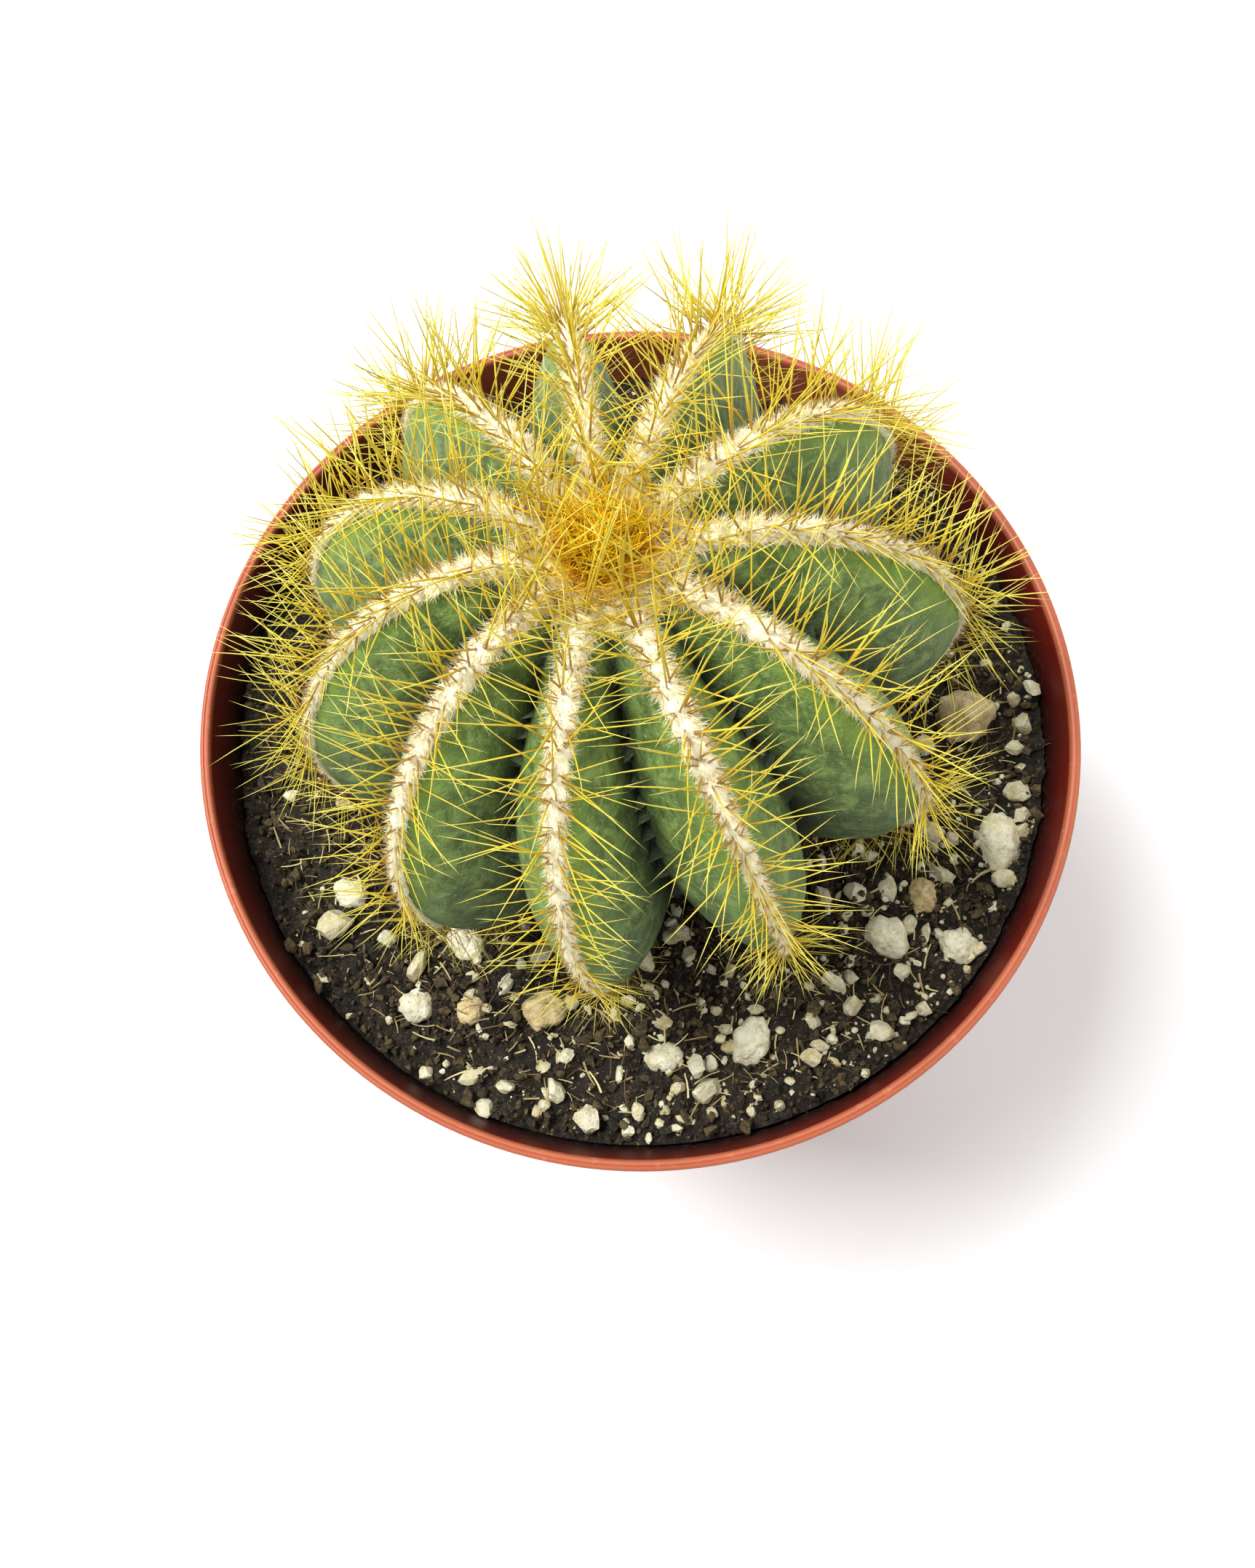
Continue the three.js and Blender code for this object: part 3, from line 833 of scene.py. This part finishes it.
# %% Plant formula
RIB_COUNT = 11
BODY_RADIUS = 36.6 * MM
BODY_RISE = 21.5 * MM
BODY_DROP = 27.5 * MM
PLUMPNESS = 1.6
CROWN_DIP = 2.2 * MM
SWIRL_FROM = 0.8
ROWS = 18
LEAN = np.array(Matrix.Rotation(math.radians(-4.6), 3, "X") @ Matrix.Rotation(math.radians(-2.3), 3, "Y"))


def uneven(base, waves, degrees):
    """A base value with waves round the plant, each a size and the angle where it peaks."""
    for number, (size, peak) in enumerate(waves, 1):
        base = base + size * np.cos(np.radians(number * degrees - peak))
    return base


EVEN = 360 * np.arange(RIB_COUNT) / RIB_COUNT
AZIMUTH = EVEN + uneven(0.6, [(3.5, 12), (1.7, 72)], EVEN)
REACH = uneven(1, [(0.057, 29), (0.038, 162)], AZIMUTH)
SWIRL = uneven(3.2, [(5.6, -148)], AZIMUTH)


def down_at(row):
    return math.pi / 2 * (1 - np.cos(math.pi * np.asarray(row) / ROWS))


def crest_profile(down):
    """Radius and height of the crest line, before a rib's own reach."""
    s, c = np.abs(np.sin(down)), np.cos(down)
    above = c >= 0
    radius = BODY_RADIUS * np.where(above, s**0.68, s**0.8)
    upper = BODY_RISE * np.clip(c, 0, 1) ** 1.28 - CROWN_DIP * np.exp(-((down / 0.16) ** 2))
    return radius, np.where(above, upper, -BODY_DROP * np.clip(-c, 0, 1) ** 0.9)


def body_point(turn, down, lift=0.0):
    """A place on the skin, in metres; lift raises it away from the plant's centre."""
    turn, down = np.broadcast_arrays(np.asarray(turn, float), np.asarray(down, float))
    first = np.floor(turn).astype(int) % RIB_COUNT
    second = (first + 1) % RIB_COUNT
    share = turn - np.floor(turn)
    start = AZIMUTH[first] + SWIRL[first] * (down - SWIRL_FROM)
    end = AZIMUTH[second] + SWIRL[second] * (down - SWIRL_FROM) + np.where(second == 0, 360, 0)
    azimuth = np.radians(start + (end - start) * share)
    reach = REACH[first] + (REACH[second] - REACH[first]) * share
    aside = np.minimum(share, 1 - share) * 2
    fade = np.clip(down / 0.45, 0, 1)
    valley = uneven(0.33, [(0.07, 90), (0.03, 180)], np.degrees(azimuth))
    depth = valley * fade * fade * (3 - 2 * fade) * aside**PLUMPNESS
    radius, height = crest_profile(down)
    upright = np.stack([radius * reach * np.cos(azimuth), radius * reach * np.sin(azimuth), height], axis=-1)
    upright = upright * (1 - depth)[..., None]
    leaned = (upright + unit(upright) * np.asarray(lift)[..., None]) @ LEAN.T
    return leaned + np.array(PLANT_CENTRE), aside


def crest_frame(rib, row):
    """A place on a rib's crest, and the directions across the rib, down along it and out of it."""
    down = down_at(row)
    step = 0.02
    place, _ = body_point(rib, down)
    along = unit(body_point(rib, down + step)[0] - body_point(rib, np.maximum(down - step, 0.001))[0])
    azimuth = np.radians(AZIMUTH[rib] + SWIRL[rib] * (down - SWIRL_FROM))
    around = np.stack([-np.sin(azimuth), np.cos(azimuth), np.zeros_like(azimuth)], axis=-1) @ LEAN.T
    out = unit(np.cross(along, around))
    return place, np.cross(along, out), along, out


print("reach of the ribs", np.round(REACH, 3), "azimuths", np.round(AZIMUTH))

# %% [markdown]
# ## Skin
# The skin is waxy and blue-green. Low on the flanks it is older and greyer, and painted darker there as
# painted shade. Young flesh next to the crest is a fresher, yellower green, and painted brighter as painted
# light. The valleys are painted nearly black as painted shade. It is finely freckled with breathing pores
# and has faint creases across the flanks. The mesh tells the finish how far a place is from the crest, as
# `aside`, and how far from the crown, as `down`.


# %% Skin finish
def cactus_skin():
    paint = Finish("cactus_skin")
    aside = mark(paint, "aside")
    down = mark(paint, "down")
    broad = spot_noise(paint, 7 * MM, 3.0, 0.6, 0.8)
    mottle = between(paint, spot_noise(paint, 2.2 * MM, 6.0, 0.72, 0.6), 0.36, 0.64)
    fine = spot_noise(paint, 0.5 * MM, 4.0, 0.75)
    # young flesh by the crest: a yellower green, painted brighter as painted light
    young_and_lit = blend(paint, broad, tint(148, 180, 62), tint(98, 138, 54))
    flank = blend(paint, mottle * 0.6 + broad * 0.4, tint(40, 66, 22), tint(146, 174, 92))
    upper = blend(paint, between(paint, aside + broad * 0.3 - 0.15, 0.04, 0.5), young_and_lit, flank)
    # low on the flanks: greyer, and painted darker as painted shade
    old_and_shaded = blend(paint, mottle * 0.7 + broad * 0.3, tint(34, 54, 32), tint(106, 132, 92))
    aged_and_shaded = between(paint, down + broad * 0.9 - aside * 0.2, 1.3, 2.3) * 0.8
    skin = blend(paint, aged_and_shaded, upper, old_and_shaded)
    pores = 1 - between(paint, cells(paint, 0.8 * MM), 0.05, 0.3)
    scars = between(paint, spot_noise(paint, 1.1 * MM, 6.0, 0.8), 0.6, 0.74)
    freckled = blend(paint, pores * 0.35 + scars * 0.45, skin, tint(176, 198, 152))
    # painted shade: the valleys between the ribs darken to nearly black
    valley_shade = between(paint, aside, 0.62, 1.0)
    colour = blend(paint, valley_shade * 0.88, freckled, tint(14, 26, 16))
    relief = fine * 0.4 + mottle * 0.8 - pores * 0.3
    return paint.surface(
        base_color=colour,
        roughness=0.44 + fine * 0.22,
        normal=bump(paint, relief, 0.22 * MM, 0.8),
        coat_weight=0.1,
        coat_roughness=0.5,
        subsurface_weight=0.06,
        subsurface_radius=(0.0008, 0.0014, 0.0006),
    )


CACTUS_SKIN = cactus_skin()
print("finish", CACTUS_SKIN.name)

# %% [markdown]
# ## Body
# The body is one grown piece. A UV sphere already has its poles and its columns where a ribbed ball needs
# them, so one is added with a whole number of columns to a rib, and each of its corners is moved to where
# the formula says. Sculpting the ribs by hand would lose the match with the CAD solid. A little noise
# makes the flanks swell and crease as flesh does.

# %% Body
COLUMNS = 18
BODY_RINGS = 120


def grow_body():
    bpy.ops.mesh.primitive_uv_sphere_add(segments=RIB_COUNT * COLUMNS, ring_count=BODY_RINGS, radius=1)
    body = bpy.context.object
    ball = corners_of(body)
    row = np.arccos(np.clip(ball[:, 2], -1, 1)) / math.pi * ROWS
    turn = np.arctan2(ball[:, 1], ball[:, 0]) / (2 * math.pi) * RIB_COUNT % RIB_COUNT
    turn = np.round(turn * COLUMNS) / COLUMNS % RIB_COUNT
    down = down_at(row)
    rough, aside = body_point(turn, down)
    swell = [noise.noise(Vector(p) * 170) * 0.32 + noise.noise(Vector(p) * 420) * 0.13 for p in rough]
    crease = [noise.noise(Vector((t * 2.2, r * 3.1, 4))) for t, r in zip(turn, row)]
    flank = np.clip(aside * 2.5, 0, 1) * np.clip(down / 0.3, 0, 1)
    lift = (np.array(swell) - 0.25 * np.clip(crease, 0, 1) * aside) * flank * MM
    placed, _ = body_point(turn, down, lift)
    store(body, "aside", aside)
    store(body, "down", down)
    move_corners(body, placed)
    return body


finish_piece(grow_body(), "cactus_flesh", CACTUS_SKIN, ["cactus_body"], sharp_above=60)

# %% [markdown]
# ## Wool
# Every areole makes a tuft of felt, and the tufts overlap into one cream strip that is widest at the crown
# and narrow where the rib turns under. The core of a strip is a UV sphere drawn out along the crest,
# swollen at each areole, and short hairs stand out of it. A particle system wouldn't survive export, so
# the hairs are copies.


# %% Wool finish
def cream_wool():
    paint = Finish("cream_wool")
    strands = spot_noise(paint, 0.35 * MM, 5.0, 0.7, 0.8)
    shade = mark(paint, "tone") * 0.7 + strands * 0.25
    colour = blend(paint, shade, tint(255, 251, 224), tint(250, 238, 190))
    shaded = blend(paint, between(paint, mark(paint, "along"), 0.0, 0.5), tint(236, 216, 156), colour)
    return paint.surface(
        base_color=shaded,
        roughness=1.0,
        normal=bump(paint, strands, 0.12 * MM, 0.6),
        sheen_weight=0.25,
        subsurface_weight=0.1,
        subsurface_radius=(0.001, 0.0008, 0.0005),
    )


WOOL = cream_wool()
print("finish", WOOL.name)

# %% Shape of a wool strip
AREOLES = 27
WOOL_ROWS = (1.2, 9.9)
HAIRS_PER_RIB = 4800


def wool_half_width(share):
    return (1.95 - 1.5 * share**0.66) * MM


def wool_surface(rib, share, angle, grow=0.0):
    """A place on a rib's wool. share runs down the strip, angle goes round it from one side over its top."""
    row = WOOL_ROWS[0] + (WOOL_ROWS[1] - WOOL_ROWS[0]) * share
    place, across, along, out = crest_frame(rib, row)
    tuft = (share * AREOLES + rib * 0.37) % 1.0
    swell = 1 + (0.34 * np.sin(math.pi * tuft) ** 0.7 - 0.22) * (1 - 0.75 * share)
    close = np.sin(math.pi * np.clip(share, 0, 1)) ** 0.22
    wide = (wool_half_width(share) * swell + grow) * close
    tall = ((1.15 - 0.65 * share) * MM * swell + grow) * close
    cos, sin = np.cos(angle), np.sin(angle)
    placed = place + across * (wide * cos)[:, None] + out * (tall * sin + 0.1 * MM)[:, None]
    normal = unit(across * (cos / wide.clip(1e-5))[:, None] + out * (sin / tall.clip(1e-5))[:, None])
    return placed, normal, along


print("a strip is", round(2 * wool_half_width(0) / MM, 1), "mm wide at the crown")


# %% Felt and hairs
def wool_core(rib):
    bpy.ops.mesh.primitive_uv_sphere_add(segments=14, ring_count=6 * AREOLES, radius=1)
    core = bpy.context.object
    ball = corners_of(core)
    share = np.arccos(np.clip(ball[:, 2], -1, 1)) / math.pi
    angle = np.arctan2(ball[:, 1], ball[:, 0])
    placed, normal, _ = wool_surface(np.full(len(ball), rib), share, angle)
    rough = np.array([noise.noise(Vector(p) * 1100) + 0.7 * noise.noise(Vector(p) * 2600) for p in placed])
    placed = placed + normal * (rough * 0.34 * MM * np.sin(math.pi * share) ** 0.5)[:, None]
    move_corners(core, placed)
    return core


def hair_shape(bow):
    return rod_shape(0.045, 0, (0.45,), lambda z: (1, bow * z**2, 0))


HAIRS = [hair_shape(bow) for bow in (0.0, 0.25, 0.5)]


def wool_hairs(rib, count):
    ribs = np.full(count, rib)
    share = rng.random(count)
    angle = rng.uniform(math.radians(-5), math.radians(185), count)
    root, normal, along = wool_surface(ribs, share, angle, -0.15 * MM)
    comb = along * rng.normal(0.7, 0.5, count)[:, None] + rng.normal(0, 0.28, (count, 3))
    directions = unit(normal + comb)
    lengths = rng.uniform(0.4, 1.25, count) * (1.35 - 0.7 * share) * MM
    turns = turns_along(directions, lengths)
    return copies("wool_hairs", HAIRS, root, turns, rng.random(count))


print("a hair has", len(HAIRS[0][1]), "faces")


# %% Wool of every rib
for rib in range(RIB_COUNT):
    label = f"{rib + 1:02d}"
    core = wool_core(rib)
    store(core, "along", np.full(len(core.data.vertices), 0.6))
    strip = join_pieces(core, wool_hairs(rib, HAIRS_PER_RIB))
    finish_piece(strip, "wool_strip_" + label, WOOL, ["wool_rib_" + label], sharp_above=60)

# %% [markdown]
# ## Bristles
# Each areole holds about ten thin spines. Most fan out to both sides and lie low over the flanks, with
# their tips up or down the rib, and a few in the middle stand straight out. They are brown-orange at the
# foot, golden along their length and pale yellow at the tip. A needle is a thin rod cut into four lengths
# and bowed a little.


# %% Bristle finish
def bristle(name, foot, middle, tip, dull):
    paint = Finish(name)
    along = mark(paint, "along")
    tone = mark(paint, "tone")
    stops = [(0.0, foot), (0.08, foot), (0.35, middle), (1.0, tip)]
    ramp = paint.node("ShaderNodeValToRGB", {"stops": stops}, {"Fac": along}, out="Color")
    colour = blend(paint, between(paint, tone, 0.6, 1.0) * 0.7, ramp, dull)
    return paint.surface(
        base_color=colour,
        roughness=0.42,
        subsurface_weight=0.1,
        subsurface_radius=(0.0005, 0.0005, 0.0002),
    )


GOLDEN = bristle(
    "golden_bristle", tint(192, 142, 42), tint(226, 203, 54), tint(240, 230, 108), tint(210, 176, 42)
)
AMBER = bristle(
    "amber_bristle", tint(206, 144, 0), tint(244, 196, 0), tint(252, 226, 30), tint(214, 156, 0)
)
print("finishes", GOLDEN.name, AMBER.name)


# %% Needles
def needle_shape(thickness, bow, wave=0.0):
    """A needle that stays about as thick up to its middle."""

    def shift(z):
        return 1 + 1.8 * z, bow * z**2, wave * math.sin(2 * math.pi * z)

    return rod_shape(thickness, 0, (0.25, 0.5, 0.75), shift)


NEEDLES = [needle_shape(0.0076, bow) for bow in (-0.03, 0.02, 0.08, 0.13)]
CURLS = [needle_shape(0.017, bow, wave) for bow, wave in ((0.25, 0.05), (0.45, -0.07), (0.65, 0.04))]
print("a needle has", len(NEEDLES[0][1]), "faces, a curl", len(CURLS[0][1]))


# %% Spines of the ribs
SPINE_ROWS = (1.5, 12.6)
FAN = 8
CENTRALS = 3
UPWARD = 0.5


def rib_spines(rib):
    """The spines of one rib: a low fan to both sides of each areole, and a few that stand up in its middle.

    Near the crown some are still hidden in the wool and the rest point all ways. Further down they are combed
    like a herringbone, towards the rib's end. They are most worn, and so shortest, low down at the front.
    """
    per_areole = FAN + CENTRALS
    areole = np.repeat(np.arange(AREOLES + 2), per_areole)
    count = len(areole)
    member = np.tile(np.arange(per_areole), AREOLES + 2)
    share = (areole + rng.normal(0, 0.15, count)).clip(0) / (AREOLES + 1)
    row = SPINE_ROWS[0] + (SPINE_ROWS[1] - SPINE_ROWS[0]) * share
    place, across, along, out = crest_frame(np.full(count, rib), row)
    side = np.where(member % 2 == 0, 1.0, -1.0)
    central = member >= FAN
    combed = np.radians(rng.normal(30 * share, 32 - 8 * share))
    fan = np.where(central, rng.uniform(-math.pi, math.pi, count), combed)
    rise = np.radians(np.where(central, rng.uniform(45, 85, count), 8 + 36 * rng.random(count) ** 1.4))
    flat = across * (side * np.cos(fan))[:, None] + along * np.sin(fan)[:, None]
    low = np.clip((share - 0.35) / 0.4, 0, 1)
    upward = rng.uniform(0.2, 1.8, count) * UPWARD * np.clip((1 - share) / 0.3, 0, 1)
    leaning = flat * np.cos(rise)[:, None] + out * np.sin(rise)[:, None]
    directions = unit(leaning + LEAN[:, 2] * upward[:, None])
    newest = (1 - share / 0.5).clip(0, 1)
    longest = np.where(central, rng.uniform(9, 14.5, count) + 4.5 * newest, rng.uniform(8.5, 14, count))
    back = math.sin(math.radians(AZIMUTH[rib]))
    lengths = longest * (1 - (0.34 - 0.22 * back) * low) * MM
    root = place + out * (0.4 * MM) + across * (side * wool_half_width(share) * 0.15)[:, None]
    turns = turns_along(directions, lengths)
    tones = (rng.random(count) * 0.85 + 0.45 * np.exp(-share / 0.1)).clip(0, 1)
    lost = 0.65 * (1 - share / 0.22).clip(0, 1) + 0.4 * ((share - 0.75) / 0.25).clip(0, 1)
    grown = rng.random(count) > lost
    return copies("spines", NEEDLES, root[grown], turns[grown], tones[grown])


for rib in range(RIB_COUNT):
    label = f"{rib + 1:02d}"
    fans = rib_spines(rib)
    finish_piece(fans, "bristles_" + label, GOLDEN, ["spines_rib_" + label], sharp_above=180)

# %% [markdown]
# ## Crown
# New areoles are born in the dip at the top. Their wool isn't rubbed apart yet and makes one cushion,
# golden in the middle and cream outside, and their spines are thin, amber and still curled over each
# other, like a nest. The cushion is a flattened sphere with hairs, and the nest is made of the curled
# needles, with their feet packed in the middle of the cushion.

# %% Crown wool finish
CROWN_RADIUS = 8.2 * MM
CROWN_HEIGHT = 2.6 * MM
CROWN_HAIRS = 5200
CROWN_BASE = body_point(0, 0.0)[0]


def crown_wool():
    """Golden in the middle, where the wool is youngest, and cream like the ribs' wool outside."""
    paint = Finish("crown_wool")
    place = paint.node("ShaderNodeTexCoord", out="Object")
    middle = {0: place, 1: tuple(CROWN_BASE)}
    away = paint.node("ShaderNodeVectorMath", {"operation": "DISTANCE"}, middle, out="Value")
    strands = spot_noise(paint, 0.35 * MM, 5.0, 0.7, 0.8)
    old_and_shaded = between(paint, away + strands * (2.5 * MM), 5.8 * MM, 7.8 * MM)
    shade = mark(paint, "tone") * 0.7 + strands * 0.25
    gold = blend(paint, shade, tint(242, 190, 0), tint(206, 146, 0))
    cream = blend(paint, shade, tint(255, 249, 204), tint(252, 232, 146))
    return paint.surface(
        base_color=blend(paint, old_and_shaded, gold, cream),
        roughness=1.0,
        normal=bump(paint, strands, 0.12 * MM, 0.6),
    )


CROWN_WOOL = crown_wool()
print("finish", CROWN_WOOL.name)


# %% Crown cushion
def crown_surface(reach, angle):
    """A place on the cushion's top, its normal, and the direction away from the middle. reach is 0 to 1."""
    flat = np.stack([np.cos(angle), np.sin(angle), np.zeros_like(angle)], axis=-1)
    height = CROWN_HEIGHT * (1 - reach**2.2)
    upright = flat * (reach * CROWN_RADIUS)[:, None]
    upright[:, 2] = height
    normal = flat * (reach * 0.9)[:, None]
    normal[:, 2] = 1
    return CROWN_BASE + upright @ LEAN.T, unit(normal) @ LEAN.T, flat @ LEAN.T


def crown_cushion():
    bpy.ops.mesh.primitive_uv_sphere_add(segments=64, ring_count=32, radius=1)
    cushion = bpy.context.object
    ball = corners_of(cushion)
    reach = np.hypot(ball[:, 0], ball[:, 1])
    angle = np.arctan2(ball[:, 1], ball[:, 0])
    placed, normal, _ = crown_surface(reach, angle)
    rough = np.array([noise.noise(Vector(p) * 700) for p in placed])
    placed = placed + normal * (rough * 0.7 * MM)[:, None]
    below = ball[:, 2] < 0
    placed[below] = placed[below] - LEAN[:, 2] * (2.5 * MM * np.abs(ball[below, 2]))[:, None]
    move_corners(cushion, placed)
    return cushion


def crown_hairs():
    reach = np.sqrt(rng.random(CROWN_HAIRS)) * 1.03
    angle = rng.uniform(0, 2 * math.pi, CROWN_HAIRS)
    root, normal, outward = crown_surface(reach.clip(0, 1), angle)
    comb = outward * (reach * 0.7)[:, None] + rng.normal(0, 0.35, (CROWN_HAIRS, 3))
    directions = unit(normal + comb)
    lengths = rng.uniform(0.6, 1.7, CROWN_HAIRS) * MM
    turns = turns_along(directions, lengths)
    return copies("crown_hairs", HAIRS, root, turns, rng.random(CROWN_HAIRS))


cushion = join_pieces(crown_cushion(), crown_hairs())
finish_piece(cushion, "crown_cushion", CROWN_WOOL, ["crown_wool"], sharp_above=60)


# %% Crown bristles
NEST_DRAWS = 640
NEST_REACH = 0.56


def crown_nest(count):
    """Curled spines on the cushion. In the middle they lean over each other, and further out away."""
    reach = rng.random(count) ** 0.8 * 0.86
    angle = rng.uniform(0, 2 * math.pi, count)
    grown = (reach < NEST_REACH) | (rng.random(count) < 0.25)
    reach, angle = reach[grown], angle[grown]
    count = len(reach)
    root, normal, outward = crown_surface(reach, angle)
    around = np.cross(normal, outward)
    inner = reach < NEST_REACH
    away = np.where(inner, rng.normal(-0.5, 0.5, count), rng.normal(0.4, 0.6, count))
    slew = rng.normal(0, 0.6, count)
    rise = np.where(inner, rng.uniform(0.25, 0.9, count), rng.uniform(0.4, 1.4, count))
    directions = unit(normal * rise[:, None] + outward * away[:, None] + around * slew[:, None])
    lengths = np.where(inner, rng.uniform(3.4, 6.2, count), rng.uniform(3.6, 7, count)) * MM
    turns = turns_along(directions, lengths)
    tones = (0.6 * (1 - reach) + rng.random(count) * 0.6).clip(0, 1)
    return copies("crown_nest", CURLS, root, turns, tones)


finish_piece(crown_nest(NEST_DRAWS), "crown_bristles", AMBER, ["crown_spines"], sharp_above=180)
